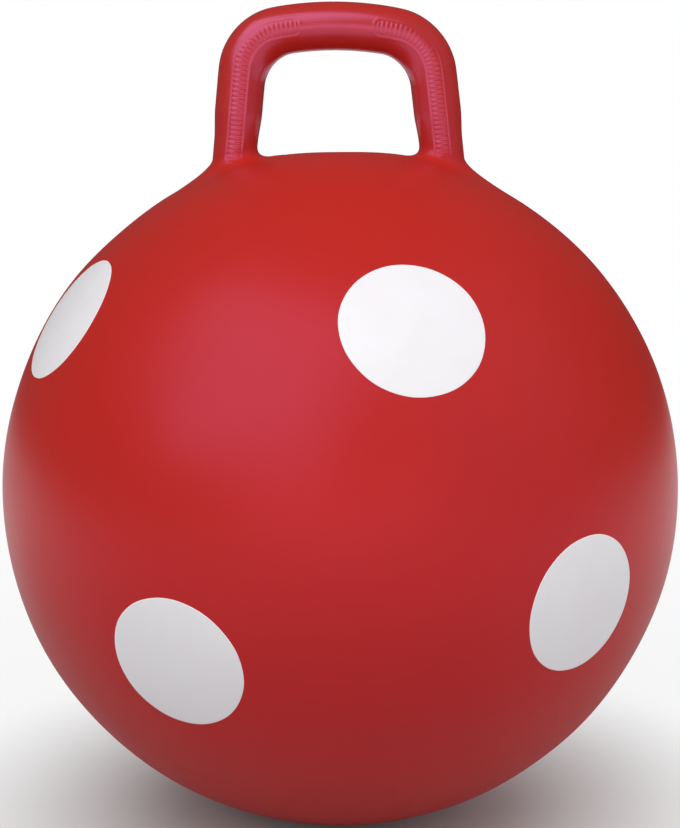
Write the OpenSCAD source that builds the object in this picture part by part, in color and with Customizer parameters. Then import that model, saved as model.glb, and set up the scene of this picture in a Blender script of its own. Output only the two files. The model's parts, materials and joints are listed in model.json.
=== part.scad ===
// Hopper ball: an inflated vinyl ball with a moulded loop handle, an air valve and printed spots.
// Millimetres, +Z up, front towards -Y. The origin is the middle of the flat patch it stands on.

/* [Ball] */
// Outside diameter of the inflated ball
ball_d = 450; // [380:5:550]
// Diameter of the patch that the ball's own weight presses flat on the ground
contact_d = 70; // [40:1:100]
// Thickness of the vinyl skin
skin_wall = 1.2; // [0.8:0.1:2.4]

/* [Handle] */
// Outside diameter of the handle tube
tube_d = 30.5; // [26:0.5:34]
// Wall of the handle tube, which is hollow and shares the ball's air
tube_wall = 2; // [1:0.25:4]
// Distance between the two legs where their centre lines meet the ball
foot_spacing = 138; // [125:1:150]
// Lean of each leg towards the middle, from upright
leg_splay = 6.4; // [3:0.1:9]
// Height of the bar's centre line over the top of the ball
bar_rise = 78.7; // [70:0.1:95]
// Radius of the bar's shallow arch, at its centre line
bar_arch_r = 210; // [160:5:400]
// Bend radius of the two upper corners, at the centre line
corner_r = 28; // [22:1:34]

/* [Handle feet] */
// Radius of the sweep from the outer side of a leg down onto the ball
flare_r = 29; // [20:1:40]
// Radius of the tighter fillet round the front, back and inner side of a foot
root_fillet = 11; // [8:0.5:13]

/* [Grip ribs] */
// Width of the ribbed strip on the front and on the back of the handle
strip_w = 13.5; // [8:0.5:18]
// Distance from one rib to the next, along the handle
rib_pitch = 3; // [2.5:0.1:5]
// Thickness of a rib at its root, along the handle
rib_w = 1.5; // [1:0.1:2]
// Height of a rib over the tube
rib_h = 0.5; // [0.3:0.05:0.8]
// Smooth length of leg between the fillets of its foot and the lowest rib
rib_gap = 3; // [2:0.5:15]
// Length of smooth bar between the left strip and the right one
smooth_len = 49; // [30:1:60]

/* [Spots] */
// Diameter of a printed spot
spot_d = 85; // [60:1:95]
// Thickness of the ink film
ink = 0.2; // [0.1:0.05:0.5]

/* [Valve] */
// Height of the valve over the ball's equator, as an angle on the back of the ball
valve_lat = 15; // [5:1:20]
// Diameter of the valve seat's flange on the outside of the ball
seat_d = 20; // [17:0.5:24]
// Thickness of the flange at its rim
seat_h = 1.4; // [1:0.1:2]
// Wall of the collar that holds the plug's stem
collar_wall = 2.4; // [1.5:0.1:3]
// Length of the collar inside the ball
collar_depth = 9; // [6:0.5:14]
// Diameter of the plug's stem
stem_d = 6; // [5:0.1:7]
// Length of the plug's stem
stem_len = 12; // [8:0.5:16]
// Diameter of the plug's head
head_d = 11; // [9.5:0.1:13]
// Thickness of the plug's head
head_h = 1.8; // [1.4:0.1:2.4]
// Depth of the recess in the flange that takes the head
recess = 0.8; // [0.5:0.05:0.9]
// Clearance round the plug and round the collar
fit = 0.1; // [0.05:0.01:0.2]

/* [Hidden] */
$fn = 96;
// Finer setting for the ball, whose facets would otherwise show where other pieces sit on it
ball_fn = 300;
// Gap of the bond line between the skin and what is moulded or printed on it
bond = 0.05;
// Overlap that carries a cut past the face it goes through
past = 1;
vinyl_red = [0.72, 0.18, 0.15];
ink_white = [0.95, 0.94, 0.96];
plug_white = [0.93, 0.93, 0.92];

// The legs and the bar lap over the corners' ends by this length, and are this much larger in radius
lap = 2;
lap_step = 0.25;

ball_r = ball_d / 2;
centre_z = sqrt(ball_r * ball_r - contact_d * contact_d / 4);
tube_r = tube_d / 2;
leg_r = tube_r + lap_step;
bore_r = tube_r - tube_wall;

// The right leg as a line in the plane of the handle: its foot, measured from the ball's centre
foot_x = foot_spacing / 2;
foot_z = sqrt(ball_r * ball_r - foot_x * foot_x);
leg_up = [-sin(leg_splay), cos(leg_splay)];
leg_in = [-cos(leg_splay), -sin(leg_splay)];
bar_z = ball_r + bar_rise;
arch_centre = [0, bar_z - bar_arch_r];

// The corner arc touches both the leg and the bar, so its centre is corner_r from each
corner_base = [foot_x, foot_z] + corner_r * leg_in - arch_centre;
corner_along = corner_base * leg_up;
corner_apart = corner_base * corner_base - pow(bar_arch_r - corner_r, 2);
leg_len = -corner_along + sqrt(corner_along * corner_along - corner_apart);
corner_centre = arch_centre + corner_base + leg_len * leg_up;
arch_end = atan2(corner_centre[1] - arch_centre[1], corner_centre[0] - arch_centre[0]);
lap_angle = atan(lap / bar_arch_r);

// Both fillets of a foot dip this far under the ball's surface, so that neither ends in a feather edge
fillet_dip = 0.4;

// Flare about the leg's own axis: the arc's centre is flare_r outside the tube and flare_r above the ball
flare_out = leg_r + flare_r;
flare_base = [foot_x, foot_z] - flare_out * leg_in;
flare_along = flare_base * leg_up;
flare_apart = flare_base * flare_base - pow(ball_r + flare_r - fillet_dip, 2);
flare_start = -flare_along + sqrt(flare_along * flare_along - flare_apart);
flare_centre = flare_base + flare_start * leg_up;
// Angle that the arc turns before it is under the ball's surface
flare_turn = 90 - leg_splay - atan2(flare_centre[0], flare_centre[1]);
// Its section ends inside the ball, this much further from the arc's centre than the arc itself
flare_reach = 1.2;
flare_end = [flare_out, flare_start] - flare_reach * flare_r * [cos(flare_turn), sin(flare_turn)];
leg_low = -2 * flare_r;

// Root fillet about a radius of the ball, through the leg where it stands one fillet radius clear
lean = asin(foot_x / ball_r) + leg_splay;
root_along = ball_r * cos(lean);
root_up = -root_along + sqrt(root_along * root_along + root_fillet * (2 * ball_r + root_fillet));
root_point = [foot_x, foot_z] + root_up * leg_up;
root_angle = atan2(root_point[0], root_point[1]);
// The fillet's neck ends inside the wall of the leg
root_neck = tube_r - tube_wall / 2;
root_out = root_neck + root_fillet;
root_high = sqrt(pow(ball_r + root_fillet - fillet_dip, 2) - root_out * root_out);

// Grip ribs: the strip follows the centre line from the lowest rib, round the corner and onto the bar
corner_len = corner_r * (arch_end - leg_splay) * PI / 180;
rib_start = max(flare_start, root_up) + rib_gap;
strip_end = leg_len + corner_len + bar_arch_r * (acos(smooth_len / 2 / bar_arch_r) - arch_end) * PI / 180;
rib_count = 1 + floor((strip_end - rib_start) / rib_pitch);
strip_half_angle = asin(strip_w / tube_d);
// Each flank of a rib slopes in by half the rib's height
crest_w = rib_w - rib_h;

// Bearings of the spots on the ball: degrees round from the front, and degrees over the equator
spots_upper = [[13, 34.3], [98, 34], [164, 34], [-130, 34], [-65, 33.5]];
spots_lower = [[-26.3, -17], [40, -9.8], [112, -13], [-176, -14], [-101, -12]];
spots = concat(spots_upper, spots_lower);
spot_names = concat(
    [for (i = [1 : len(spots_upper)]) str("spot_upper_", i)],
    [for (i = [1 : len(spots_lower)]) str("spot_lower_", i)]
);
spot_half_angle = asin(spot_d / ball_d);

valve_bearing = [180, valve_lat];
seat_r = seat_d / 2;
stem_r = stem_d / 2;
head_r = head_d / 2;
collar_d = stem_d + 2 * fit + 2 * collar_wall;
seat_floor = seat_h - recess;
// Bevel on the rim of the flange and of the plug's head
rim = 0.5;

// Stands its children on the ball: local +Z is the outward radius at that bearing, from the ball's centre
module on_radius(bearing) {
    translate([0, 0, centre_z])
        rotate([90 - bearing[1], 0, bearing[0]])
            children();
}

// The same, with the local origin on the ball's surface
module on_ball(bearing) {
    on_radius(bearing) translate([0, 0, ball_r]) children();
}

// Both legs of the handle, each with its foot at the local origin and its axis along local +Z
module at_legs() {
    for (side = [0, 1])
        mirror([side, 0, 0])
            translate([foot_x, 0, centre_z + foot_z])
                rotate([0, -leg_splay, 0])
                    children();
}

// A round bar of radius r, bent to bend_r in the plane of the handle, from angle a0 to a1
module bent_bar(r, centre, bend_r, a0, a1) {
    translate([centre[0], 0, centre_z + centre[1]])
        rotate([90, 0, 0])
            rotate([0, 0, a0])
                rotate_extrude(angle = a1 - a0)
                    translate([bend_r, 0])
                        circle(r = r);
}

// The bend of the handle between its legs: two corners and the arched bar, of radius r
module handle_bend(r) {
    for (side = [0, 1])
        mirror([side, 0, 0])
            bent_bar(r, corner_centre, corner_r, leg_splay, arch_end);
    bent_bar(r + lap_step, arch_centre, bar_arch_r, arch_end - lap_angle, 180 - arch_end + lap_angle);
}

// The air way through one leg and on into the ball
module leg_bore() {
    translate([0, 0, leg_low]) cylinder(r = bore_r + lap_step, h = leg_len + lap - leg_low);
}

// Half section of one leg with its flared foot
module leg_section() {
    translate([0, leg_low]) square([leg_r, leg_len + lap - leg_low]);
    difference() {
        polygon([
            [0, flare_start], [flare_out, flare_start], flare_end, [flare_end[0], leg_low], [0, leg_low]
        ]);
        translate([flare_out, flare_start]) circle(r = flare_r);
    }
}

// Half section of the root fillet, about a radius of the ball, closed over by a cone inside the leg
module root_section() {
    difference() {
        polygon([
            [0, foot_z], [root_out, foot_z], [root_out, root_high], [root_neck, root_high],
            [0, root_high + root_neck]
        ]);
        translate([root_out, root_high]) circle(r = root_fillet);
    }
}

// The hollow ball, flat where it stands, with an air way under each leg and a hole for the valve
module ball_skin() {
    color(vinyl_red)
        difference() {
            ball_solid(ball_r, 0);
            ball_solid(ball_r - skin_wall, skin_wall);
            at_legs() leg_bore();
            on_ball(valve_bearing) cylinder(d = collar_d + 2 * fit, h = 4 * skin_wall, center = true);
        }
}

// A ball of radius r, cut flat at the given height over the ground
module ball_solid(r, floor_z) {
    intersection() {
        translate([0, 0, centre_z]) sphere(r = r, $fn = ball_fn);
        translate([-ball_r, -ball_r, floor_z]) cube([ball_d, ball_d, ball_d]);
    }
}

// The loop handle: two hollow legs with flared feet, two corners and an arched bar
module handle() {
    color(vinyl_red)
        difference() {
            union() {
                at_legs() rotate_extrude() leg_section();
                handle_bend(tube_r);
                for (side = [0, 1])
                    mirror([side, 0, 0])
                        translate([0, 0, centre_z])
                            rotate([0, root_angle, 0])
                                rotate_extrude() root_section();
            }
            translate([0, 0, centre_z]) sphere(r = ball_r + bond, $fn = ball_fn);
            at_legs() leg_bore();
            handle_bend(bore_r);
        }
}

// Place on the right half of the centre line, s along it from the foot: x, z and the angle of lean
function handle_place(s) =
    s < leg_len ? concat([foot_x, foot_z] + s * leg_up, leg_splay)
    : s < leg_len + corner_len ? arc_place(corner_centre, corner_r, leg_splay, s - leg_len)
    : arc_place(arch_centre, bar_arch_r, arch_end, s - leg_len - corner_len);

// Place on an arc about a centre, s along it from angle a0
function arc_place(centre, r, a0, s) =
    let (a = a0 + s / r * 180 / PI) concat(centre + r * [cos(a), sin(a)], a);

// Radius of the tube under a rib, s along the centre line: the corners are narrower than the rest
function radius_under(s) =
    s > leg_len + lap + rib_w && s < leg_len + corner_len - lap - rib_w ? tube_r : leg_r + lap_step / 2;

// One rib across the strip, on a tube of radius r whose axis is local Z, centred on local -Y
module grip_rib(r) {
    rotate([0, 0, -90 - strip_half_angle])
        rotate_extrude(angle = 2 * strip_half_angle)
            polygon([
                [r, -rib_w / 2], [r + rib_h, -crest_w / 2], [r + rib_h, crest_w / 2], [r, rib_w / 2]
            ]);
}

// The ribs of the right half of the handle, on its front and on its back
module grip_ribs() {
    color(vinyl_red)
        for (back = [0, 1])
            mirror([0, back, 0])
                for (i = [0 : rib_count - 1])
                    let (s = rib_start + i * rib_pitch, place = handle_place(s))
                        translate([place[0], 0, centre_z + place[1]])
                            rotate([0, -place[2], 0])
                                grip_rib(radius_under(s) + bond);
}

module grip_ribs_right() {
    grip_ribs();
}

module grip_ribs_left() {
    mirror([1, 0, 0]) grip_ribs();
}

// Half section of the valve seat, with its zero height on the outside of the ball
module seat_section() {
    difference() {
        union() {
            difference() {
                polygon([
                    [0, -past], [seat_r, -past], [seat_r, seat_h - rim],
                    [seat_r - rim, seat_h], [0, seat_h]
                ]);
                translate([0, -ball_r]) circle(r = ball_r + bond, $fn = ball_fn);
            }
            translate([0, -collar_depth]) square([collar_d / 2, collar_depth + seat_floor]);
        }
        translate([0, -collar_depth - past]) square([stem_r + fit, collar_depth + seat_h + 2 * past]);
        translate([0, seat_floor]) square([head_r + fit, recess + past]);
    }
}

// The valve seat: a flange on the outside of the skin and a collar that reaches into the ball
module valve_seat() {
    color(vinyl_red)
        on_ball(valve_bearing)
            rotate_extrude() seat_section();
}

// Half section of the plug, with its zero height under the head
module plug_section() {
    polygon([[0, 0], [head_r, 0], [head_r, head_h - rim], [head_r - rim, head_h], [0, head_h]]);
    translate([0, stem_r - stem_len]) square([stem_r, stem_len - stem_r]);
    intersection() {
        translate([0, stem_r - stem_len]) circle(r = stem_r);
        translate([0, -stem_len]) square(stem_r);
    }
}

// The plug: a low head that sits in the flange's recess, and a stem with a rounded end
module valve_plug() {
    color(plug_white)
        on_ball(valve_bearing)
            translate([0, 0, seat_floor + bond])
                rotate_extrude() plug_section();
}

// One printed spot: a thin film of ink that follows the ball
module printed_spot(bearing) {
    reach = ball_d;
    color(ink_white)
        on_radius(bearing)
            rotate_extrude()
                intersection() {
                    difference() {
                        circle(r = ball_r + bond + ink, $fn = ball_fn);
                        circle(r = ball_r + bond, $fn = ball_fn);
                    }
                    polygon([[0, 0], [reach * tan(spot_half_angle), reach], [0, reach]]);
                }
}

ball_skin();
handle();
grip_ribs_left();
grip_ribs_right();
valve_seat();
valve_plug();
for (i = [0 : len(spots) - 1])
    printed_spot(spots[i]);
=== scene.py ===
"""A hopper ball of red vinyl: its skin, loop handle, printed spots and valve, in a small studio.

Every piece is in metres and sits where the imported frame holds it. +Z is up, and the front faces -Y.
"""

import json
import math

import bmesh
import bpy
import numpy as np
from bpy.props import FloatProperty, FloatVectorProperty, IntProperty, PointerProperty
from bpy.types import Operator, Panel, PropertyGroup
from mathutils import Matrix, Vector


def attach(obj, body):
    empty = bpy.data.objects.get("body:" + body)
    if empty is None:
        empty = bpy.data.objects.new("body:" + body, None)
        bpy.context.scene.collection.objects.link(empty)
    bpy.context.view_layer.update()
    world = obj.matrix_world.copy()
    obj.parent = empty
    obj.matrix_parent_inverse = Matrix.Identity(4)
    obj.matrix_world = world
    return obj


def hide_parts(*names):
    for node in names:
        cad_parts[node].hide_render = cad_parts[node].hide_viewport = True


bl_info = {
    "name": "Hopper Ball",
    "version": (1, 0, 0),
    "blender": (4, 5, 0),
    "location": "View3D > Sidebar > Hopper Ball",
    "description": "Builds a vinyl hopper ball with its loop handle, printed spots, valve and studio",
    "category": "Object",
}

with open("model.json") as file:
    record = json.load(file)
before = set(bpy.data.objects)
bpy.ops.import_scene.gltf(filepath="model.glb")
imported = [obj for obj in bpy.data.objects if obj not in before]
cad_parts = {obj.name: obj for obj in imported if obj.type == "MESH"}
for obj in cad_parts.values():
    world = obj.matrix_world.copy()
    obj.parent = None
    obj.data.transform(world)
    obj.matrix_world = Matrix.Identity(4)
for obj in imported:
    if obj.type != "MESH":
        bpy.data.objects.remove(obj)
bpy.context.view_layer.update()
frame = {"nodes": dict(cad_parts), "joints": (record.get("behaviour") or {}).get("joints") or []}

BALL_BODY = "ball"
PLUG_BODY = "plug"
SPOT_NODES = sorted(name for name in frame["nodes"] if name.startswith("spot_"))
VALVE_AXIS = Vector(frame["joints"][0]["axis"])

TINY = 1e-9
SAME_PLACE = 1e-7
FULL_TURN = 2 * math.pi
QUARTER_TURN = math.pi / 2


def metres(name, value, description):
    """A length that a user may change."""
    return FloatProperty(name=name, description=description, default=value, unit="LENGTH")


def degrees(name, value, description):
    """An angle that a user may change."""
    return FloatProperty(name=name, description=description, default=math.radians(value), subtype="ANGLE")


def factor(name, value, description):
    """A share between 0 and 1 that a user may change."""
    return FloatProperty(name=name, description=description, default=value, subtype="FACTOR")


def tint(name, value, description):
    """A colour that a user may change."""
    return FloatVectorProperty(name=name, description=description, default=value, subtype="COLOR")


def number(name, value, description, unit="NONE"):
    """Any other number that a user may change."""
    return FloatProperty(name=name, description=description, default=value, unit=unit)


class BallSizes(PropertyGroup):
    """Sizes of the inflated skin."""

    diameter: metres("Diameter", 0.45, "Outside diameter of the inflated ball")
    wall: metres("Wall", 0.0012, "Thickness of the skin")
    patch_width: metres("Flat patch", 0.07, "Width of the patch pressed flat by the ground")
    patch_edge: metres("Patch edge", 0.003, "Height over which the patch rounds into the ball")
    crown_drop: metres("Crown drop", 0.0017, "How far the crown lies under the true sphere")
    crown_rim: degrees("Crown rim", 14, "Angle from the top to where the crown meets the sphere")
    shoulder_drop: metres("Shoulder drop", 0.0006, "How far the shoulder lies under the sphere")
    shoulder_place: degrees("Shoulder place", 38, "Angle from the top to the middle of the shoulder")
    shoulder_spread: degrees("Shoulder spread", 13, "Angle from that middle to the shoulder's edges")
    ripple: metres("Ripple", 0.0001, "Height of the long, soft ripples in the skin")
    cells: IntProperty(
        name="Cells", description="Mesh cells along one side of the skin's six patches", default=84, min=24
    )


class HandleSizes(PropertyGroup):
    """Sizes of the loop handle and of its two feet."""

    foot_spacing: metres("Foot spacing", 0.138, "Distance between the legs at the ball")
    leg_splay: degrees("Leg lean", 6.4, "Lean of each leg towards the middle")
    bar_rise: metres("Bar rise", 0.0786, "Height of the bar's centre line over the top of the ball")
    bar_arch: metres("Bar arch", 0.21, "Radius of the bar's shallow arch")
    corner_bend: metres("Corner bend", 0.028, "Bend radius of the upper corners")
    lean: metres("Lean", 0.0003, "How far the soft handle leans to the left at its bar")
    tilt: degrees("Tilt", 0.9, "How far the bar of the soft handle tilts down to the right")
    corner_trim: metres("Corner trim", 0.0005, "How much thinner the tube is outside its corners")
    inner_bend: metres("Inner bend", 0.0245, "Bend radius of the corners inside the loop")
    foot_width: metres("Width at the foot", 0.0287, "Tube width just over the foot")
    leg_width: metres("Leg width", 0.0310, "Tube width half way up a leg")
    bar_width: metres("Bar width", 0.0310, "Tube width along the bar")
    outer_reach: metres("Outer reach", 0.029, "How far a foot spreads over the ball, outwards")
    outer_climb: metres("Outer climb", 0.007, "How far up the leg that spread starts")
    side_reach: metres("Side reach", 0.012, "How far a foot spreads to the front and back")
    side_climb: metres("Side climb", 0.010, "How far up the leg that spread starts")
    inner_reach: metres("Inner reach", 0.011, "How far a foot spreads towards the other foot")
    inner_climb: metres("Inner climb", 0.009, "How far up the leg that spread starts")


class GripSizes(PropertyGroup):
    """Sizes of the ribbed strips on the front and back of the handle."""

    strip_width: metres("Strip width", 0.0106, "Width of the sunk strip between its rims")
    end_round: metres("End rounding", 0.0035, "Radius of the strip's corners")
    recess: metres("Recess", 0.00015, "Depth of the strip's floor")
    rim_width: metres("Rim width", 0.0018, "Width of the rim round the strip")
    rim_height: metres("Rim height", 0.00011, "Height of the rim over the tube")
    rib_pitch: metres("Rib pitch", 0.003, "Distance from one rib to the next")
    rib_height: metres("Rib height", 0.00016, "Height of a rib over the strip's floor")
    toe: metres("Toe", 0.003, "Where the strip ends on the foot, along the leg from the ball")
    smooth_bar: metres("Smooth bar", 0.049, "Length of smooth bar between the two strips")


class SpotSizes(PropertyGroup):
    """Sizes of the printed spots that the frame doesn't hold."""

    film: metres("Film", 0.0002, "Height of the ink over the skin")
    wander: metres("Edge wander", 0.00025, "How far a spot's edge strays from a true circle")


class ValveSizes(PropertyGroup):
    """Sizes of the valve's grommet and stopper."""

    flange_width: metres("Flange width", 0.020, "Width of the grommet's flange")
    flange_height: metres("Flange height", 0.0014, "Height of the flange over the skin")
    collar_width: metres("Collar width", 0.011, "Width of the collar inside the ball")
    collar_depth: metres("Collar depth", 0.009, "Length of the collar inside the ball")
    stem_width: metres("Stem width", 0.006, "Width of the stopper's stem")
    stem_length: metres("Stem length", 0.012, "Length of the stopper's stem")
    head_width: metres("Head width", 0.011, "Width of the stopper's head")
    head_height: metres("Head height", 0.0018, "Thickness of the stopper's head")
    recess: metres("Recess", 0.0008, "Depth of the flange's recess for the head")
    clearance: metres("Clearance", 0.0001, "Clearance round the stopper")
    seating: metres("Seating", 0.00005, "Gap under the stopper's head")


class Finishes(PropertyGroup):
    """Colours and gloss of the materials."""

    vinyl_red: tint("Vinyl red", (0.55, 0.0220, 0.0125), "Colour of the skin")
    # A little darker than the skin's red: a painted shade for the dim sides of the handle's legs
    handle_red: tint("Handle red", (0.52, 0.028, 0.018), "Colour of the handle")
    ink_white: tint("Ink white", (0.93, 0.915, 0.945), "Colour of the printed spots")
    stopper_white: tint("Stopper white", (0.80, 0.79, 0.75), "Colour of the valve's stopper")
    vinyl_glint: tint("Vinyl glint", (1.0, 0.45, 1.0), "Tint of the vinyl's highlights")
    vinyl_roughness: factor("Vinyl roughness", 0.38, "Roughness of the clean skin")
    handle_roughness: factor("Handle roughness", 0.26, "Roughness of the clean handle")
    ink_roughness: factor("Ink roughness", 0.40, "Roughness of the printed ink")
    vinyl_gloss: factor("Vinyl gloss", 0.32, "Strength of the skin's reflections")
    handle_gloss: factor("Handle gloss", 0.7, "Strength of the handle's reflections")


class StageSettings(PropertyGroup):
    """Camera and light. Bearings are angles from the front, towards the right."""

    camera_distance: metres("Camera distance", 1.125, "From the ball's centre")
    camera_height: degrees("Camera elevation", 11.5, "Angle over the ball's centre")
    camera_raise: degrees("Aim raise", 2.43, "Angle of its aim over the ball's centre")
    camera_roll: degrees("Roll", -0.35, "Roll of the camera about its own axis")
    lens: number("Lens", 72.0, "Focal length in millimetres", "CAMERA")
    sky_low: number("Low sky", 0.04, "Strength of the light from the horizon")
    sky_high: number("High sky", 0.20, "Strength of the light from overhead")
    lamp_distance: metres("Lamp distance", 2.2, "From the ball's centre to the soft lights")
    key_width: metres("Key width", 2.2, "Side of the left soft light")
    key_power: number("Key power", 38.0, "Power of the left soft light", "POWER")
    key_bearing: degrees("Key bearing", -33, "Bearing of the left soft light")
    key_height: degrees("Key elevation", 43, "Angle of that light over the ball's centre")
    fill_width: metres("Fill width", 3.0, "Side of the right soft light")
    fill_power: number("Fill power", 30.0, "Power of the right soft light", "POWER")
    fill_bearing: degrees("Fill bearing", 64, "Bearing of the right soft light")
    fill_height: degrees("Fill elevation", 32, "Angle of that light over the ball's centre")
    back_width: metres("Back width", 2.6, "Side of the soft light behind")
    back_power: number("Back power", 30.0, "Power of the soft light behind", "POWER")
    back_bearing: degrees("Back bearing", 172, "Bearing of the soft light behind")
    back_height: degrees("Back elevation", 18, "Angle of that light over the ball's centre")
    floor_width: metres("Floor width", 24.0, "Side of the floor")


class HopperBall(PropertyGroup):
    """Everything that a user may change."""

    ball: PointerProperty(type=BallSizes)
    handle: PointerProperty(type=HandleSizes)
    grip: PointerProperty(type=GripSizes)
    spots: PointerProperty(type=SpotSizes)
    valve: PointerProperty(type=ValveSizes)
    finishes: PointerProperty(type=Finishes)
    stage: PointerProperty(type=StageSettings)


# Easing and meshes


def eased(value, low, high):
    """0 up to low, 1 from high on, and a level start and end between them."""
    share = np.clip((value - low) / (high - low), 0.0, 1.0)
    return share * share * (3.0 - 2.0 * share)


def eased_through(run, stations):
    """A size that eases from each station, a place along the run and a size there, to the next one."""
    sizes = np.full(np.shape(run), stations[0][1])
    for (start, before), (end, after) in zip(stations, stations[1:]):
        sizes = sizes + (after - before) * eased(run, start, end)
    return sizes


def ring_faces(rows, columns):
    """Faces between successive closed rings of points."""
    row, column = np.meshgrid(np.arange(rows - 1), np.arange(columns), indexing="ij")
    after = (column + 1) % columns
    low = row * columns
    high = low + columns
    corners = (low + column, high + column, high + after, low + after)
    return np.stack(corners, axis=-1).reshape(-1, 4).tolist()


def cap_faces(first, columns, tip):
    """A fan from one tip point to a closed ring of points that starts at first."""
    return [(tip, first + column, first + (column + 1) % columns) for column in range(columns)]


def add_piece(name, points, faces, finish):
    """A smooth mesh object whose faces all look outwards, with points in the same place made one."""
    mesh = bpy.data.meshes.new(name)
    mesh.from_pydata(np.asarray(points).tolist(), [], faces)
    shell = bmesh.new()
    shell.from_mesh(mesh)
    bmesh.ops.remove_doubles(shell, verts=shell.verts[:], dist=SAME_PLACE)
    bmesh.ops.recalc_face_normals(shell, faces=shell.faces[:])
    shell.to_mesh(mesh)
    shell.free()
    mesh.shade_smooth()
    mesh.materials.append(finish)
    piece = bpy.data.objects.new(name, mesh)
    bpy.context.scene.collection.objects.link(piece)
    return piece


def hand_over(piece, body, slot, *nodes):
    """The piece moves with a body and stands for these nodes of the frame, which it hides. The slot is not
    used.
    """
    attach(piece, body)
    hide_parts(*nodes)


class Skin:
    """The outside of the inflated ball: a sphere with a low crown and shoulder and a few long ripples."""

    # Each ripple is the direction of a wave and its phase
    ripples = ((17.0, 5.0, 4.0, 0.4), (-9.0, 14.0, 8.0, 1.9), (6.0, -11.0, 16.0, 3.1))

    def __init__(self, ball):
        self.ball = ball
        self.radius = ball.diameter / 2
        self.centre = np.array([0.0, 0.0, math.sqrt(self.radius**2 - ball.patch_width**2 / 4)])

    def offset(self, directions):
        """How far the skin stands off the true sphere in each direction."""
        ball = self.ball
        from_top = np.arccos(np.clip(directions[..., 2], -1.0, 1.0))
        crown = ball.crown_drop * (1.0 - eased(from_top, 0.0, ball.crown_rim))
        off_shoulder = np.abs(from_top - ball.shoulder_place)
        shoulder = ball.shoulder_drop * (1.0 - eased(off_shoulder, 0.0, ball.shoulder_spread))
        waves = sum(np.sin(directions @ np.array(wave[:3]) + wave[3]) for wave in self.ripples)
        return -crown - shoulder - ball.ripple * (len(self.ripples) + 1 - waves)

    def points(self, directions, lift=0.0):
        """Points over the skin in each direction, lifted off it."""
        reach = self.radius + self.offset(directions) + lift
        return self.centre + directions * reach[..., None]

    def settled(self, points, fade):
        """Moves points near the ball as the skin stands off the sphere, fading out over a height."""
        spokes = points - self.centre
        lengths = np.linalg.norm(spokes, axis=-1, keepdims=True)
        directions = spokes / lengths
        near = 1.0 - eased(lengths[..., 0] - self.radius, 0.0, fade)
        return points + directions * (near * self.offset(directions))[..., None]

    def level_on_ground(self, points):
        """Presses the points that would lie under the ground flat, with a soft edge."""
        edge = self.ball.patch_edge
        height = points[..., 2]
        overlap = np.maximum(edge - np.abs(height), 0.0) / edge
        points[..., 2] = np.maximum(height, 0.0) + overlap**2 * edge / 4
        return points


# The skin


def cube_directions(cells):
    """Directions of an even grid over a sphere, from the faces of a cube, and the faces between them."""
    grid = bmesh.new()
    bmesh.ops.create_cube(grid, size=2.0)
    bmesh.ops.subdivide_edges(grid, edges=grid.edges[:], cuts=cells - 1, use_grid_fill=True)
    corners = np.tan(np.array([vertex.co for vertex in grid.verts]) * math.pi / 4)
    faces = [[vertex.index for vertex in face.verts] for face in grid.faces]
    grid.free()
    return corners / np.linalg.norm(corners, axis=1, keepdims=True), faces


def open_hole(directions, faces, axis, half_angle):
    """Leaves out the faces round an axis and rounds the edge of the hole that they leave."""
    from_axis = np.arccos(np.clip(directions @ axis, -1.0, 1.0))
    inside = {face for face, corners in enumerate(faces) if from_axis[corners].mean() < half_angle}
    cut = {corner for face in inside for corner in faces[face]}
    kept = [corners for face, corners in enumerate(faces) if face not in inside]
    edge = sorted(cut & {corner for corners in kept for corner in corners})
    across = directions[edge] - np.outer(directions[edge] @ axis, axis)
    across /= np.linalg.norm(across, axis=1, keepdims=True)
    directions[edge] = math.cos(half_angle) * axis + math.sin(half_angle) * across
    used = sorted({corner for corners in kept for corner in corners})
    place = {corner: index for index, corner in enumerate(used)}
    return directions[used], [[place[corner] for corner in corners] for corners in kept]


class HOPPER_BALL_OT_skin(Operator):
    """Build the inflated skin of the ball"""

    bl_idname = "hopper_ball.skin"
    bl_label = "Build Skin"

    def execute(self, context):
        sizes = context.scene.hopper_ball
        skin = Skin(sizes.ball)
        directions, faces = cube_directions(sizes.ball.cells)
        hole = sizes.valve.collar_width / 2 / skin.radius
        directions, faces = open_hole(directions, faces, np.array(VALVE_AXIS), hole)
        points = skin.level_on_ground(skin.points(directions))
        piece = add_piece("skin", points, faces, skin_vinyl(sizes.finishes))
        wall = piece.modifiers.new("wall", "SOLIDIFY")
        wall.thickness = sizes.ball.wall
        wall.offset = -1.0
        hand_over(piece, BALL_BODY, "vinyl_skin", "ball_skin")
        return {"FINISHED"}


# The handle


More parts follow.
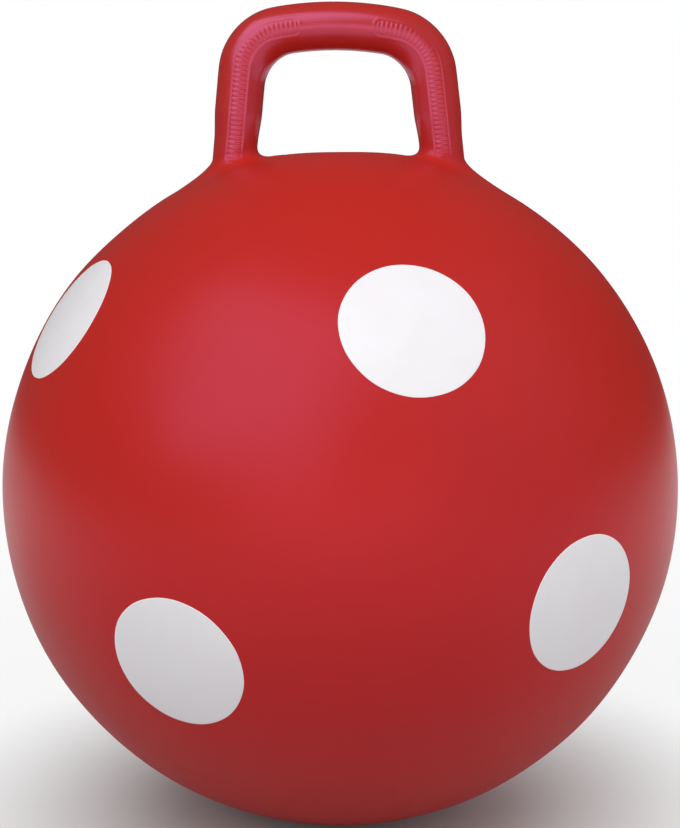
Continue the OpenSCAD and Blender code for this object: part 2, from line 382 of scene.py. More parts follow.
class HandleLine:
    """Centre line of the right half of the handle, from its foot on the ball to the middle of the bar.

    Places are (x, height over the ball's centre). Out is the side away from the loop.
    """

    def __init__(self, handle, radius):
        self.splay = handle.leg_splay
        self.up = np.array([-math.sin(self.splay), math.cos(self.splay)])
        self.out = np.array([math.cos(self.splay), math.sin(self.splay)])
        self.foot = np.array([handle.foot_spacing / 2, math.sqrt(radius**2 - handle.foot_spacing**2 / 4)])
        self.bend = handle.corner_bend
        self.inner_bend = handle.inner_bend
        self.inner_side = handle.corner_bend - handle.bar_width / 2
        self.arch = handle.bar_arch
        self.arch_centre = np.array([0.0, radius + handle.bar_rise - self.arch])
        base = self.foot - self.bend * self.out - self.arch_centre
        along = base @ self.up
        self.leg_end = -along + math.sqrt(along**2 - base @ base + (self.arch - self.bend) ** 2)
        self.bend_centre = self.arch_centre + base + self.leg_end * self.up
        spoke = self.bend_centre - self.arch_centre
        self.arch_start = math.atan2(spoke[1], spoke[0])
        self.bend_end = self.leg_end + self.bend * (self.arch_start - self.splay)
        self.middle = self.bend_end + self.arch * (QUARTER_TURN - self.arch_start)
        self.lean = math.asin(self.foot[0] / radius) + self.splay

    def places(self, runs):
        """Centre and outward direction at each run along the line."""
        on_leg = runs < self.leg_end
        on_bend = runs < self.bend_end
        bend_angle = self.splay + (runs - self.leg_end) / self.bend
        arch_angle = self.arch_start + (runs - self.bend_end) / self.arch
        angle = np.where(on_leg, self.splay, np.where(on_bend, bend_angle, arch_angle))
        out = np.stack([np.cos(angle), np.sin(angle)], axis=-1)
        leg = self.foot + runs[:, None] * self.up
        bend = self.bend_centre + self.bend * out
        arch = self.arch_centre + self.arch * out
        curve = np.where(on_bend[:, None], bend, arch)
        return np.where(on_leg[:, None], leg, curve), out

    def corner_fill(self, runs):
        """How much thicker the tube is inside the loop, where the inner bend is wider than its own."""
        half = (self.arch_start - self.splay) / 2
        wider = self.inner_bend - self.inner_side
        past_end = np.abs(runs - (self.leg_end + self.bend_end) / 2) - self.bend * half
        turn = half + np.minimum(past_end, 0.0) / self.bend
        set_in = wider / math.cos(half)
        across = set_in * np.sin(turn)
        on_bend = self.inner_side - np.sqrt(self.inner_bend**2 - across**2) + set_in * np.cos(turn)
        left = np.maximum(wider * math.tan(half) - np.maximum(past_end, 0.0), 0.0)
        on_straight = self.inner_bend - np.sqrt(self.inner_bend**2 - left**2)
        return np.where(past_end < 0, on_bend, on_straight)


class LoopHandle:
    """Rings of points for the handle, each with its place along the strip and its outward direction."""

    fine_step = 0.000375
    plain_step = 0.0015
    strip_margin = 0.003
    strip_half_turn = math.radians(36)
    strip_columns = 44
    plain_columns = 20
    blend_rows = 44
    join_rows = 18
    # Each ring of the skirt is its reach past the foot and its depth in the skin
    skirt = ((0.012, 0.0008), (0.006, 0.0002), (0.003, 0.00006), (0.0015, 0.00002))
    tip_depth = 0.012
    settle_fade = 0.04
    taper_run = (0.016, 0.036)
    corner_ease = 0.024
    strip_wall = 0.0006
    rib_inset = (0.0007, 0.0016)
    rib_sides = (-0.7, 0.7)

    def __init__(self, handle, grip, skin):
        self.handle = handle
        self.grip = grip
        self.skin = skin
        self.line = HandleLine(handle, skin.radius)
        self.angles = self.ring_angles()
        corner = (self.line.leg_end + self.line.bend_end) / 2
        self.widths = (
            (self.taper_run[0], handle.foot_width),
            (self.taper_run[1], handle.leg_width),
            (corner - self.corner_ease, handle.leg_width),
            (corner + self.corner_ease, handle.bar_width),
        )
        self.trims = (
            (corner - self.corner_ease, 0.0),
            (corner, handle.corner_trim),
            (corner + self.corner_ease, 0.0),
        )
        self.strip_end = self.line.middle - grip.smooth_bar / 2

    def ring_angles(self):
        """Angles round the tube from its outer side towards the front, finer across the two strips."""
        half = self.strip_half_turn
        edges = (-QUARTER_TURN + half, QUARTER_TURN - half, QUARTER_TURN + half, 3 * QUARTER_TURN - half)
        outer = np.linspace(edges[0], edges[1], self.plain_columns, endpoint=False)
        front = np.linspace(edges[1], edges[2], self.strip_columns, endpoint=False)
        inner = np.linspace(edges[2], edges[3], self.plain_columns, endpoint=False)
        return np.concatenate([outer, front, inner, front + math.pi])

    def foot_size(self, outer, side, inner):
        """A size of the foot round the leg, from its outer, its front and back, and its inner size."""
        facing = np.cos(self.angles)
        more_outside = (outer - side) * np.maximum(facing, 0) ** 2
        more_inside = (inner - side) * np.maximum(-facing, 0) ** 2
        return side + more_outside + more_inside

    def foot_rings(self):
        """Distance from the leg's axis, height along it, strip run and slope of each ring, skirt first."""
        handle = self.handle
        radius = self.skin.radius
        tube = handle.foot_width / 2
        ball_out = -radius * math.sin(self.line.lean) * np.cos(self.angles)
        ball_up = -radius * math.cos(self.line.lean)
        section = np.sqrt(radius**2 - (radius * math.sin(self.line.lean) * np.sin(self.angles)) ** 2)
        land_out = tube + self.foot_size(handle.outer_reach, handle.side_reach, handle.inner_reach)
        land_up = ball_up + np.sqrt(section**2 - (land_out - ball_out) ** 2)
        slope = (ball_out - land_out) / (land_up - ball_up)
        bend_up = land_up + slope * (tube - land_out)
        start_up = bend_up + self.foot_size(handle.outer_climb, handle.side_climb, handle.inner_climb)

        share = np.linspace(1.0, 0.0, self.blend_rows)[:, None]
        out = tube + share**2 * (land_out - tube)
        up = (1 - share) ** 2 * start_up + 2 * share * (1 - share) * bend_up + share**2 * land_up
        out_rate = share * (land_out - tube)
        up_rate = (1 - share) * (bend_up - start_up) + share * (land_up - bend_up)

        skirt_out = np.stack([land_out + reach for reach, _ in self.skirt])
        sinks = np.array([[sink] for _, sink in self.skirt])
        skirt_up = ball_up + np.sqrt(section**2 - (skirt_out - ball_out) ** 2) - sinks
        join = np.linspace(0.0, 1.0, self.join_rows, endpoint=False)[1:, None]
        joins_up = start_up + join * (self.taper_run[0] - start_up)
        plain = np.full_like(joins_up, tube)

        out = np.vstack([skirt_out, out, plain])
        up = np.vstack([skirt_up, up, joins_up])
        skirts = np.zeros_like(skirt_out)
        out_rate = np.vstack([skirts + out_rate[0], out_rate, np.zeros_like(joins_up)])
        up_rate = np.vstack([skirts + up_rate[0], up_rate, -np.ones_like(joins_up)])
        steps = np.hypot(np.diff(out, axis=0), np.diff(up, axis=0))
        below = np.vstack([np.cumsum(steps[::-1], axis=0)[::-1], np.zeros_like(land_out)])
        run = up[-1] - below
        return out, up, run, np.stack([-up_rate, out_rate], axis=-1)

    def relief(self, run, across):
        """Height over the tube of the strip's floor, rim and ribs, for a place along and across it."""
        grip = self.grip
        half_length = (self.strip_end - grip.toe) / 2
        past_side = np.abs(across) - grip.strip_width / 2 + grip.end_round
        past_end = np.abs(run - grip.toe - half_length) - half_length + grip.end_round
        corner = np.hypot(np.maximum(past_side, 0), np.maximum(past_end, 0))
        inside = -(corner + np.minimum(np.maximum(past_side, past_end), 0) - grip.end_round)
        rim = grip.rim_height * np.exp(-((inside / grip.rim_width * 2 + 1) ** 2))
        floor = grip.recess * eased(inside, 0.0, self.strip_wall)
        wave = eased(np.cos(FULL_TURN * run / grip.rib_pitch), *self.rib_sides)
        return rim - floor + grip.rib_height * wave * eased(inside, *self.rib_inset)

    def rings(self):
        """Points of the right half, from the skirt of its foot to the middle of the bar."""
        line = self.line
        fine_start = self.taper_run[0]
        fine_end = self.strip_end + self.strip_margin
        fine = np.linspace(fine_start, fine_end, round((fine_end - fine_start) / self.fine_step))
        plain = np.linspace(fine_end, line.middle, round((line.middle - fine_end) / self.plain_step))[1:]
        runs = np.concatenate([fine, plain])
        centres, outs = line.places(runs)
        facing = np.cos(self.angles)
        radii = eased_through(runs, self.widths)[:, None] / 2
        radii = radii - eased_through(runs, self.trims)[:, None] * np.maximum(facing, 0) ** 2
        radii = radii + line.corner_fill(runs)[:, None] * np.maximum(-facing, 0) ** 2

        foot_out, foot_up, foot_run, foot_face = self.foot_rings()
        foot_face = foot_face / np.linalg.norm(foot_face, axis=-1, keepdims=True)
        out = np.vstack([foot_out, radii])
        run = np.vstack([foot_run, np.repeat(runs[:, None], len(self.angles), axis=1)])
        from_front = self.angles - QUARTER_TURN
        from_strip = np.abs((from_front + QUARTER_TURN) % math.pi - QUARTER_TURN)
        height = self.relief(run, out * from_strip)

        feet = len(foot_out)
        middle = np.concatenate([line.foot + foot_up[..., None] * line.up, self.spread(centres)])
        outward = np.concatenate([self.spread(np.repeat(line.out[None], feet, axis=0)), self.spread(outs)])
        face_out = np.concatenate([foot_face[..., 0], np.ones_like(out[feet:])])
        face_up = np.concatenate([foot_face[..., 1], np.zeros_like(out[feet:])])
        spoke = out + height * face_out
        plane = middle + outward * (spoke * facing)[..., None]
        plane = plane + line.up * (height * face_up)[..., None]
        front = spoke * np.sin(self.angles)
        points = np.stack([plane[..., 0], -front, plane[..., 1]], axis=-1)
        return points + self.skin.centre

    def spread(self, rows):
        """The same row of places for every angle round the tube."""
        return np.repeat(rows[:, None, :], len(self.angles), axis=1)

    def leaned(self, rings):
        """The soft handle's lean to one side and the tilt of its bar, which fade out towards the feet."""
        foot = self.skin.centre[2] + self.line.foot[1]
        bar = self.skin.centre[2] + self.skin.radius + self.handle.bar_rise
        share = eased(rings[..., 2], foot, bar)
        rings[..., 0] -= self.handle.lean * share
        rings[..., 2] -= math.tan(self.handle.tilt) * rings[..., 0] * share
        return rings

    def mesh(self):
        """Points and faces of the whole handle, closed inside the ball."""
        right = self.skin.settled(self.rings(), self.settle_fade)
        left = right[-2::-1] * np.array([-1.0, 1.0, 1.0])
        rings = self.leaned(np.concatenate([right, left]))
        rows, columns = rings.shape[:2]
        tip = self.skin.centre + np.array([self.line.foot[0], 0.0, self.line.foot[1] - self.tip_depth])
        points = np.vstack([rings.reshape(-1, 3), tip, tip * np.array([-1.0, 1.0, 1.0])])
        faces = ring_faces(rows, columns)
        faces += cap_faces(0, columns, rows * columns)
        faces += cap_faces((rows - 1) * columns, columns, rows * columns + 1)
        return points, faces


class HOPPER_BALL_OT_handle(Operator):
    """Build the loop handle with its flared feet and ribbed grip strips"""

    bl_idname = "hopper_ball.handle"
    bl_label = "Build Handle"

    def execute(self, context):
        sizes = context.scene.hopper_ball
        skin = Skin(sizes.ball)
        points, faces = LoopHandle(sizes.handle, sizes.grip, skin).mesh()
        piece = add_piece("loop_handle", points, faces, handle_vinyl(sizes.finishes, skin))
        hand_over(piece, BALL_BODY, "vinyl_handle", "handle", "grip_ribs_left", "grip_ribs_right")
        return {"FINISHED"}


# The printed spots


def film_axis(node, centre):
    """Outward axis of a printed film of the frame, and the angle from it to the film's edge."""
    mesh = frame["nodes"][node].data
    axis = Vector()
    for face in mesh.polygons:
        if face.normal.dot((face.center - centre).normalized()) > math.cos(QUARTER_TURN / 2):
            axis += face.area * face.normal
    axis.normalize()
    return axis, max((vertex.co - centre).angle(axis) for vertex in mesh.vertices)


class InkSpot:
    """A thin film of ink on the skin, round but for the wander of its edge."""

    sectors = 120
    rows = 26
    flat_share = 0.97
    # Each row of the edge is a share of the spot's radius and of the film's height
    edge_rows = ((0.986, 1.0), (0.993, 0.85), (0.998, 0.5), (1.0, 0.0))
    sink = 0.00025
    # Each wave is its count round the edge, its share of the wander and its phase
    wander_waves = ((3, 0.5, 0.0), (5, 0.3, 1.3), (11, 0.2, 2.1))

    def __init__(self, spots, skin):
        self.spots = spots
        self.skin = skin

    def profile(self):
        """Share of the spot's radius and height of the film, from the middle out and back underneath."""
        top = [(share, self.spots.film) for share in np.linspace(0, self.flat_share, self.rows)[1:]]
        edge = [(share, self.spots.film * height) for share, height in self.edge_rows]
        under = [(share, -self.sink) for share in np.linspace(1.0, 0.0, self.rows)[:-1]]
        return np.array(top + edge + under)

    def mesh(self, axis, half_angle, turn):
        """Points and faces of one spot about an axis, its wandering edge turned by an angle."""
        aside = axis.orthogonal().normalized()
        across = np.stack([aside, axis.cross(aside)])
        angles = np.linspace(0, FULL_TURN, self.sectors, endpoint=False)
        around = np.stack([np.cos(angles), np.sin(angles)], axis=-1) @ across
        waves = (size * np.sin(count * angles + phase + turn) for count, size, phase in self.wander_waves)
        wander = sum(waves)
        profile = self.profile()
        share = profile[:, :1]
        stray = self.spots.wander / self.skin.radius * wander * share**4
        bearing = (half_angle * share + stray)[..., None]
        directions = np.cos(bearing) * np.array(axis) + np.sin(bearing) * around
        lifts = np.repeat(profile[:, 1:], self.sectors, axis=1)
        rings = self.skin.points(directions, lifts).reshape(-1, 3)
        tips = self.skin.points(np.array([axis, axis]), np.array([self.spots.film, -self.sink]))
        rows = len(profile)
        faces = ring_faces(rows, self.sectors)
        faces += cap_faces(0, self.sectors, len(rings))
        faces += cap_faces((rows - 1) * self.sectors, self.sectors, len(rings) + 1)
        return np.vstack([rings, tips]), faces


class HOPPER_BALL_OT_spots(Operator):
    """Print the white spots on the skin"""

    bl_idname = "hopper_ball.spots"
    bl_label = "Print Spots"

    def execute(self, context):
        sizes = context.scene.hopper_ball
        skin = Skin(sizes.ball)
        ink = InkSpot(sizes.spots, skin)
        finish = spot_ink(sizes.finishes)
        for turn, node in enumerate(SPOT_NODES):
            axis, half_angle = film_axis(node, Vector(skin.centre))
            points, faces = ink.mesh(axis, half_angle, turn)
            hand_over(add_piece("ink_" + node, points, faces, finish), BALL_BODY, "spot_ink", node)
        return {"FINISHED"}


# The valve


def softened(outline, rounding, steps=5):
    """An outline of (distance from the axis, height) places with each of its inner corners rounded."""
    places = [np.array(place) for place in outline]
    soft = [places[0]]
    for before, corner, after in zip(places, places[1:], places[2:]):
        sides = np.array([before - corner, after - corner])
        lengths = np.linalg.norm(sides, axis=1, keepdims=True)
        cut = min(rounding, lengths.min() / 2)
        start, end = corner + cut * sides / lengths
        for share in np.linspace(0, 1, steps):
            soft.append((1 - share) ** 2 * start + 2 * share * (1 - share) * corner + share**2 * end)
    return np.array(soft + [places[-1]])


def turned(outline, sectors):
    """Rings of points from an outline turned about the local Z axis."""
    angles = np.linspace(0, FULL_TURN, sectors, endpoint=False)
    width = outline[:, :1]
    height = np.repeat(outline[:, 1:], sectors, axis=1)
    return np.stack([width * np.cos(angles), width * np.sin(angles), height], axis=-1)


class Valve:
    """Outlines of the grommet and the stopper. Height zero is on the outside of the ball."""

    sectors = 72
    rim_round = 0.0005
    sink = 0.0006
    # Half the width of the dimple, and its depth
    dimple = (0.0016, 0.0003)

    def __init__(self, valve, skin):
        self.valve = valve
        self.seat_height = valve.flange_height - valve.recess
        turn = VALVE_AXIS.to_track_quat("Z", "X").to_matrix().to_4x4()
        self.place = Matrix.Translation(Vector(skin.centre) + VALVE_AXIS * skin.radius) @ turn

    def grommet(self):
        """Closed outline of the grommet, from the bore's inner end round the collar and the flange."""
        valve = self.valve
        bore = valve.stem_width / 2 + valve.clearance
        pocket = valve.head_width / 2 + valve.clearance
        return [
            (bore, -valve.collar_depth),
            (valve.collar_width / 2, -valve.collar_depth),
            (valve.collar_width / 2, -self.sink),
            (valve.flange_width / 2, -self.sink),
            (valve.flange_width / 2, valve.flange_height),
            (pocket, valve.flange_height),
            (pocket, self.seat_height),
            (bore, self.seat_height),
            (bore, -valve.collar_depth),
        ]

    def stopper(self):
        """Outline of the stopper, from the tip of its stem to the dimple in its head."""
        valve = self.valve
        under = self.seat_height + valve.seating
        top = under + valve.head_height
        dimple_width, dimple_depth = self.dimple
        return [
            (TINY, under - valve.stem_length),
            (valve.stem_width / 2, under - valve.stem_length),
            (valve.stem_width / 2, under),
            (valve.head_width / 2, under),
            (valve.head_width / 2, top),
            (dimple_width, top),
            (TINY, top - dimple_depth),
        ]

    def mesh(self, outline):
        """Points and faces of an outline with soft edges, turned in its place on the ball."""
        rings = turned(softened(outline, self.rim_round), self.sectors)
        place = np.array(self.place)
        points = rings.reshape(-1, 3) @ place[:3, :3].T + place[:3, 3]
        return points, ring_faces(len(rings), self.sectors)


class HOPPER_BALL_OT_grommet(Operator):
    """Build the valve's grommet"""

    bl_idname = "hopper_ball.grommet"
    bl_label = "Build Grommet"

    def execute(self, context):
        sizes = context.scene.hopper_ball
        valve = Valve(sizes.valve, Skin(sizes.ball))
        points, faces = valve.mesh(valve.grommet())
        piece = add_piece("valve_grommet", points, faces, grommet_vinyl(sizes.finishes))
        hand_over(piece, BALL_BODY, "vinyl_valve", "valve_seat")
        return {"FINISHED"}


class HOPPER_BALL_OT_stopper(Operator):
    """Build the stopper that pulls out of the grommet"""

    bl_idname = "hopper_ball.stopper"
    bl_label = "Build Stopper"

    def execute(self, context):
        sizes = context.scene.hopper_ball
        valve = Valve(sizes.valve, Skin(sizes.ball))
        points, faces = valve.mesh(valve.stopper())
        piece = add_piece("valve_stopper", points, faces, stopper_plastic(sizes.finishes))
        hand_over(piece, PLUG_BODY, "plug_plastic", "valve_plug")
        return {"FINISHED"}


# Finishes


class Term:
    """A value in a node tree. Sums, differences and products of terms add the Math nodes for them."""

    def __init__(self, nodes, socket):
        self.nodes = nodes
        self.socket = socket

    def __add__(self, other):
        return self.nodes.math("ADD", self, other)

    def __sub__(self, other):
        return self.nodes.math("SUBTRACT", self, other)

    def __rsub__(self, other):
        return self.nodes.math("SUBTRACT", other, self)

    def __mul__(self, other):
        return self.nodes.math("MULTIPLY", self, other)

    __radd__ = __add__
    __rmul__ = __mul__


class Made:
    """A node that was added. Its outputs are terms, by name or number."""

    def __init__(self, nodes, node):
        self.nodes = nodes
        self.node = node

    def __getitem__(self, output):
        return Term(self.nodes, self.node.outputs[output])


class Nodes:
    """An empty node tree of a material or of the world, and the way to fill it."""

    colour_a, colour_b, colour_out = 6, 7, 2

    def __init__(self, tree):
        self.tree = tree
        tree.nodes.clear()

    def add(self, kind, settings=(), sockets=()):
        """Adds a shader node of this kind: first its settings, then the values or links of its sockets."""
        node = self.tree.nodes.new("ShaderNode" + kind)
        for name, value in dict(settings).items():
            setattr(node, name, value)
        for name, value in dict(sockets).items():
            if isinstance(value, Term):
                self.tree.links.new(value.socket, node.inputs[name])
            else:
                node.inputs[name].default_value = value
        return Made(self, node)

    def math(self, operation, first, second):
        return self.add("Math", {"operation": operation}, {0: first, 1: second})["Value"]

    def blend(self, share, first, second):
        """A colour between two, by a share."""
        sockets = {0: share, self.colour_a: first, self.colour_b: second}
        return self.add("Mix", {"data_type": "RGBA"}, sockets)[self.colour_out]

    def ease(self, value, low, high):
        """0 at low and 1 at high, with a level start and end."""
        sockets = {"Value": value, "From Min": low, "From Max": high}
        return self.add("MapRange", {"interpolation_type": "SMOOTHSTEP"}, sockets)["Result"]

    def noise(self, place, scale, detail=2.0, distortion=0.0):
        sockets = {"Vector": place, "Scale": scale, "Detail": detail, "Distortion": distortion}
        return self.add("TexNoise", (), sockets)["Fac"]

    def place(self):
        """Each point's place on its piece."""
        return self.add("TexCoord")["Object"]

    def distance(self, place, centre=(0.0, 0.0, 0.0)):
        return self.add("VectorMath", {"operation": "DISTANCE"}, {0: place, 1: centre})["Value"]

    def relief(self, height, distance):
        """A bump whose height runs over a distance in metres."""
        sockets = {"Height": height, "Distance": distance, "Strength": 1.0}
        return self.add("Bump", (), sockets)["Normal"]


def rgba(colour):
    return (*colour, 1.0)


def new_finish(name):
    """An empty material with its node tree."""
    finish = bpy.data.materials.new(name)
    finish.use_nodes = True
    return finish, Nodes(finish.node_tree)


def close_finish(nodes, surface):
    """Ends a material's tree with its surface."""
    nodes.add("OutputMaterial", (), {"Surface": surface})


VINYL_IOR = 1.5
HANDLE_IOR = 1.6
SHADE_OF_RED = 0.80
FOOT_FADE = (0.001, 0.014)

# Noise patterns are a scale, a detail and a swirl
CLOUDS = (7.0, 3.0, 0.6)
CLOUD_DEPTH = 0.30
CLOUD_DULLNESS = 0.08
SCUFFS = (38.0, 6.0, 1.5)
SCUFF_EDGES = (0.56, 0.74)
GRAIN_SCALE = 2200.0
GRAIN_DEPTH = 0.000001
PEEL_SCALE = 260.0
PEEL_DEPTH = 0.000003
DUST = (0.36, 0.24, 0.20)
DUST_HEIGHT = (0.004, 0.16)
DUST_SHARE = 0.05
DUST_OFF_SCUFFS = 0.3
DUST_DULLNESS = 0.14


def vinyl_marks(nodes, place):
    """What varies over moulded vinyl: clouds in its colour, scuffs, dust low down and a fine grain."""
    cloud = nodes.noise(place, *CLOUDS)
    scuffs = nodes.ease(nodes.noise(place, *SCUFFS), *SCUFF_EDGES)
    height = nodes.add("SeparateXYZ", (), {"Vector": place})["Z"]
    dust = 1.0 - nodes.ease(height, *DUST_HEIGHT)
    grain = nodes.noise(place, GRAIN_SCALE) * (GRAIN_DEPTH / PEEL_DEPTH) + nodes.noise(place, PEEL_SCALE)
    return cloud, scuffs, dust, nodes.relief(grain, PEEL_DEPTH)


def vinyl(nodes, marks, colour, roughness, gloss, glint, ior):
    """Surface of soft moulded vinyl with these marks."""
    cloud, scuffs, dust, normal = marks
    shade = [SHADE_OF_RED * part for part in colour]
    red = nodes.blend(CLOUD_DEPTH * cloud, rgba(colour), rgba(shade))
    dusty = DUST_SHARE * dust * (DUST_OFF_SCUFFS + (1.0 - DUST_OFF_SCUFFS) * scuffs)
    clean = roughness - CLOUD_DULLNESS / 2 + CLOUD_DULLNESS * cloud
    return nodes.add("BsdfPrincipled", (), {
        "Base Color": nodes.blend(dusty, red, rgba(DUST)),
        "Roughness": clean + DUST_DULLNESS * dust * (1.0 + scuffs),
        "IOR": ior,
        "Specular IOR Level": gloss,
        "Specular Tint": rgba(glint),
        "Normal": normal,
    })["BSDF"]


def body_vinyl(nodes, marks, finishes, shade=1.0):
    """Surface of the ball's own vinyl, or of a darker shade of it."""
    red = [shade * part for part in finishes.vinyl_red]
    gloss, glint = finishes.vinyl_gloss, finishes.vinyl_glint
    return vinyl(nodes, marks, red, finishes.vinyl_roughness, gloss, glint, VINYL_IOR)


def skin_vinyl(finishes):
    """The skin's vinyl."""
    finish, nodes = new_finish("skin_vinyl")
    close_finish(nodes, body_vinyl(nodes, vinyl_marks(nodes, nodes.place()), finishes))
    return finish


def grommet_vinyl(finishes):
    """The grommet's vinyl, a shade darker than the skin's."""
    finish, nodes = new_finish("grommet_vinyl")
    close_finish(nodes, body_vinyl(nodes, vinyl_marks(nodes, nodes.place()), finishes, SHADE_OF_RED))
    return finish


def handle_vinyl(finishes, skin):
    """The handle's glossier vinyl, whose red is a little darker than the skin's as a painted shade for the
    dim sides of its legs, and which runs into the skin's down its feet.
    """
    finish, nodes = new_finish("handle_vinyl")
    place = nodes.place()
    marks = vinyl_marks(nodes, place)
    reach = nodes.distance(place, skin.centre)
    up_leg = nodes.ease(reach - skin.radius, *FOOT_FADE)
    foot = body_vinyl(nodes, marks, finishes)
    gloss, glint = finishes.handle_gloss, finishes.vinyl_glint
    leg = vinyl(nodes, marks, finishes.handle_red, finishes.handle_roughness, gloss, glint, HANDLE_IOR)
    close_finish(nodes, nodes.add("MixShader", (), {0: up_leg, 1: foot, 2: leg})["Shader"])
    return finish


INK_BLUSH = (0.80, 0.62, 0.66)
INK_CLOUDS = (22.0, 4.0, 0.8)
INK_THIN = (0.35, 0.85)
INK_THIN_BLUSH = 0.10
INK_GRAIN_SCALE = 900.0
INK_GRAIN_DEPTH = 0.000006
INK_GRAIN_BLUSH = 0.03
INK_GRAIN_DULLNESS = 0.08
INK_GLOSS = 0.4


def spot_ink(finishes):
    """Printed ink: white, with a blush of red where the film is thin, and a fine screen grain."""
    finish, nodes = new_finish("spot_ink")
    place = nodes.place()
    thin = nodes.ease(nodes.noise(place, *INK_CLOUDS), *INK_THIN)
    grain = nodes.noise(place, INK_GRAIN_SCALE)
    blush = INK_THIN_BLUSH * thin + INK_GRAIN_BLUSH * grain
    close_finish(nodes, nodes.add("BsdfPrincipled", (), {
        "Base Color": nodes.blend(blush, rgba(finishes.ink_white), rgba(INK_BLUSH)),
        "Roughness": finishes.ink_roughness + INK_GRAIN_DULLNESS * grain,
        "IOR": VINYL_IOR,
        "Specular IOR Level": INK_GLOSS,
        "Normal": nodes.relief(grain, INK_GRAIN_DEPTH),
    })["BSDF"])
    return finish


STOPPER_YELLOWED = (0.72, 0.68, 0.56)
STOPPER_CLOUDS = (180.0, 3.0, 0.0)
STOPPER_CLOUD_DEPTH = 0.5
STOPPER_GRAIN_SCALE = 2600.0
STOPPER_GRAIN_DEPTH = 0.00001
STOPPER_GRAIN_DULLNESS = 0.12
STOPPER_ROUGHNESS = 0.42


def stopper_plastic(finishes):
    """Soft white plastic, slightly yellowed, with a matt moulded grain."""
    finish, nodes = new_finish("stopper_plastic")
    place = nodes.place()
    cloud = nodes.noise(place, *STOPPER_CLOUDS)
    grain = nodes.noise(place, STOPPER_GRAIN_SCALE)
    yellow = STOPPER_CLOUD_DEPTH * cloud
    close_finish(nodes, nodes.add("BsdfPrincipled", (), {
        "Base Color": nodes.blend(yellow, rgba(finishes.stopper_white), rgba(STOPPER_YELLOWED)),
        "Roughness": STOPPER_ROUGHNESS + STOPPER_GRAIN_DULLNESS * grain,
        "Normal": nodes.relief(grain, STOPPER_GRAIN_DEPTH),
    })["BSDF"])
    return finish


# The stage

WHITE = (1.0, 1.0, 1.0, 1.0)
FLOOR_COLOUR = (0.55, 0.55, 0.55, 1.0)
FLOOR_DROP = 0.0004
# The floor's white glow fades out near the object: a painted shade round it, wider in reflections
UNDER_GLOW, NEAR_GLOW, FAR_GLOW = 0.02, 0.88, 1.0
NEAR_SHADE_FADE = (0.10, 0.34)
FAR_FADE = (0.3, 1.5)
MIRROR_SHADE_FADE = (0.2, 1.1)
# Glowing walls that only show in reflections: painted reflections, grey all round and bright at the front
# for a painted highlight
WALL_DISTANCE = 3.0
WALL_FOOT = math.radians(0.4)
WALL_ROWS = 24
WALL_SECTORS = 48
REFLECTION_GREYS = (0.05, 0.10)
WALL_TURN = (-1.7, 0.9)
FRONT_REFLECTION_GLOW = 2.2
FRONT_NEAR = (2.3, 2.8)
FRONT_TOP = (0.5, 1.2)
SKY_SPREAD = (-0.3, 1.0)

# Each lamp, and whether it shows in reflections
LAMPS = (("key", True), ("fill", False), ("back", False))


def seen_rays(nodes):
    """1 for what the camera sees straight, and 1 for what it sees in a reflection or through glass."""
    path = nodes.add("LightPath")
    mirrored = nodes.math("MAXIMUM", path["Is Glossy Ray"], path["Is Transmission Ray"])
    return path["Is Camera Ray"], mirrored


def floor_finish():
    """A matt floor that keeps the shadow near the object, where its white glow fades out in a painted
    shade that reaches further in reflections, and that is seen to run out into plain white.
    """
    finish, nodes = new_finish("studio_floor")
    away = nodes.distance(nodes.place())
    glow = UNDER_GLOW + (NEAR_GLOW - UNDER_GLOW) * nodes.ease(away, *NEAR_SHADE_FADE)
    glow = glow + (FAR_GLOW - NEAR_GLOW) * nodes.ease(away, *FAR_FADE)
    matt = nodes.add("BsdfDiffuse", (), {"Color": FLOOR_COLOUR})["BSDF"]
    white = nodes.add("Emission", (), {"Color": WHITE, "Strength": 1.0})["Emission"]
    straight, mirrored = seen_rays(nodes)
    # In reflections the glow fades in only well away from the object: a painted shadow on the floor
    share = glow * straight + nodes.ease(away, *MIRROR_SHADE_FADE) * mirrored
    close_finish(nodes, nodes.add("MixShader", (), {0: share, 1: matt, 2: white})["Shader"])
    return finish


def painted_reflection_finish():
    """Grey glowing walls that only show in reflections, a painted reflection: paler on the left, and
    bright at the front in a painted highlight, above all on the handle.
    """
    finish, nodes = new_finish("studio_wall")
    place = nodes.add("SeparateXYZ", (), {"Vector": nodes.place()})
    right, left = REFLECTION_GREYS
    grey = left + (right - left) * nodes.ease(place["X"], *WALL_TURN)
    front = nodes.ease(-1.0 * place["Y"], *FRONT_NEAR) * (1.0 - nodes.ease(place["Z"], *FRONT_TOP))
    grey = grey + FRONT_REFLECTION_GLOW * front
    close_finish(nodes, nodes.add("Emission", (), {"Color": grey, "Strength": 1.0})["Emission"])
    return finish


def light_world(world, low, high):
    """White where it is seen, and a soft sky where it lights."""
    world.use_nodes = True
    nodes = Nodes(world.node_tree)
    place = nodes.add("TexCoord")["Generated"]
    height = nodes.add("SeparateXYZ", (), {"Vector": place})["Z"]
    sky = low + (high - low) * nodes.ease(height, *SKY_SPREAD)
    straight, mirrored = seen_rays(nodes)
    strength = nodes.math("MAXIMUM", sky, straight + mirrored)
    background = nodes.add("Background", (), {"Color": WHITE, "Strength": strength})["Background"]
    nodes.add("OutputWorld", (), {"Surface": background})


def bearing_point(centre, distance, bearing, height):
    """A point at a distance from a centre, at a bearing from the front and an angle over the horizon."""
    flat = distance * math.cos(height)
    step = (flat * math.sin(bearing), -flat * math.cos(bearing), distance * math.sin(height))
    return Vector(centre) + Vector(step)


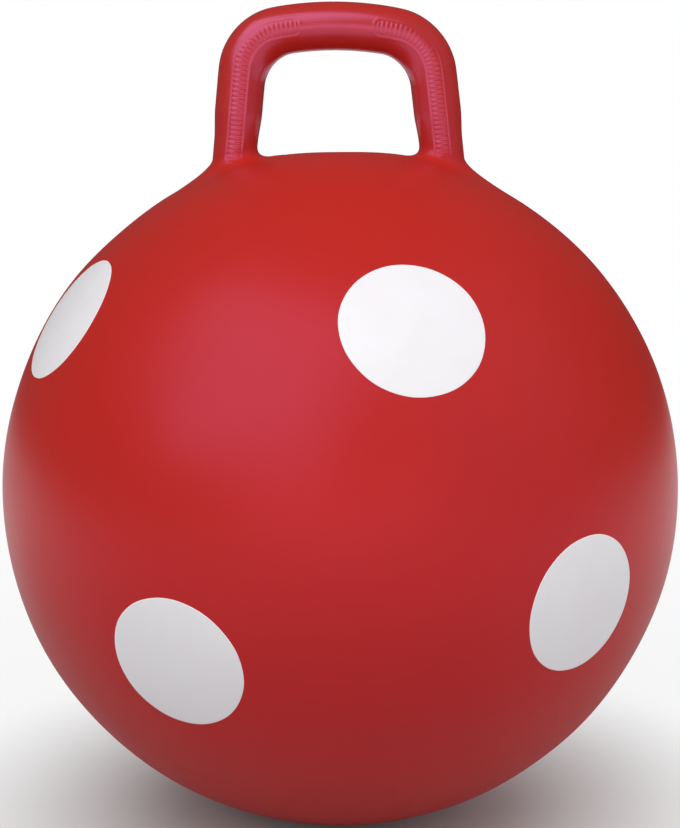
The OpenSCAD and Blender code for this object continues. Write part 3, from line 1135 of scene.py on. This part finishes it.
class HOPPER_BALL_OT_stage(Operator):
    """Set up the floor, the soft light and the camera"""

    bl_idname = "hopper_ball.stage"
    bl_label = "Set Stage"

    def execute(self, context):
        scene = context.scene
        stage = scene.hopper_ball.stage
        centre = Skin(scene.hopper_ball.ball).centre
        self.lay_floor(stage)
        self.set_reflection_walls()
        for name, mirrored in LAMPS:
            self.hang_lamp(name, stage, centre).visible_glossy = mirrored
        self.set_camera(scene, stage, centre)
        scene.world = bpy.data.worlds.new("studio")
        light_world(scene.world, stage.sky_low, stage.sky_high)
        scene.view_settings.view_transform = "Standard"
        return {"FINISHED"}

    def lay_floor(self, stage):
        half = stage.floor_width / 2
        corners = [(-half, -half, 0), (half, -half, 0), (half, half, 0), (-half, half, 0)]
        floor = add_piece("studio_floor", corners, [(0, 1, 2, 3)], floor_finish())
        floor.location.z = -FLOOR_DROP

    def set_reflection_walls(self):
        heights = np.linspace(WALL_FOOT, QUARTER_TURN, WALL_ROWS)
        outline = WALL_DISTANCE * np.stack([np.cos(heights) + TINY, np.sin(heights)], axis=-1)
        points = turned(outline, WALL_SECTORS).reshape(-1, 3)
        walls = add_piece("studio_walls", points, ring_faces(WALL_ROWS, WALL_SECTORS), painted_reflection_finish())
        # Only reflections see these walls: they are painted reflections and light nothing
        walls.visible_camera = False
        walls.visible_diffuse = False
        walls.visible_shadow = False

    def hang_lamp(self, name, stage, centre):
        light = bpy.data.lights.new(name + "_light", "AREA")
        light.size = getattr(stage, name + "_width")
        light.energy = getattr(stage, name + "_power")
        bearing, height = getattr(stage, name + "_bearing"), getattr(stage, name + "_height")
        lamp = bpy.data.objects.new(name + "_light", light)
        lamp.location = bearing_point(centre, stage.lamp_distance, bearing, height)
        lamp.rotation_euler = (lamp.location - Vector(centre)).to_track_quat("Z", "Y").to_euler()
        bpy.context.scene.collection.objects.link(lamp)
        return lamp

    def set_camera(self, scene, stage, centre):
        lens = bpy.data.cameras.new("camera")
        lens.lens = stage.lens
        camera = bpy.data.objects.new("camera", lens)
        tilt = QUARTER_TURN - stage.camera_height + stage.camera_raise
        turn = Matrix.Rotation(tilt, 4, "X") @ Matrix.Rotation(stage.camera_roll, 4, "Z")
        place = bearing_point(centre, stage.camera_distance, 0.0, stage.camera_height)
        camera.matrix_world = Matrix.Translation(place) @ turn
        scene.collection.objects.link(camera)
        scene.camera = camera


BUILDERS = (
    HOPPER_BALL_OT_stage,
    HOPPER_BALL_OT_skin,
    HOPPER_BALL_OT_handle,
    HOPPER_BALL_OT_spots,
    HOPPER_BALL_OT_grommet,
    HOPPER_BALL_OT_stopper,
)


class HOPPER_BALL_PT_build(Panel):
    """Lists the steps that build the ball"""

    bl_idname = "HOPPER_BALL_PT_build"
    bl_label = "Hopper Ball"
    bl_space_type = "VIEW_3D"
    bl_region_type = "UI"
    bl_category = "Hopper Ball"

    def draw(self, context):
        for builder in BUILDERS:
            self.layout.operator(builder.bl_idname)


GROUPS = (BallSizes, HandleSizes, GripSizes, SpotSizes, ValveSizes, Finishes, StageSettings, HopperBall)
CLASSES = (*GROUPS, *BUILDERS, HOPPER_BALL_PT_build)


def register():
    for item in CLASSES:
        bpy.utils.register_class(item)
    bpy.types.Scene.hopper_ball = PointerProperty(type=HopperBall)


def unregister():
    del bpy.types.Scene.hopper_ball
    for item in reversed(CLASSES):
        bpy.utils.unregister_class(item)


def main():
    register()
    bpy.ops.hopper_ball.stage()
    bpy.ops.hopper_ball.skin()
    bpy.ops.hopper_ball.handle()
    bpy.ops.hopper_ball.spots()
    bpy.ops.hopper_ball.grommet()
    bpy.ops.hopper_ball.stopper()


if __name__ == "__main__":
    main()
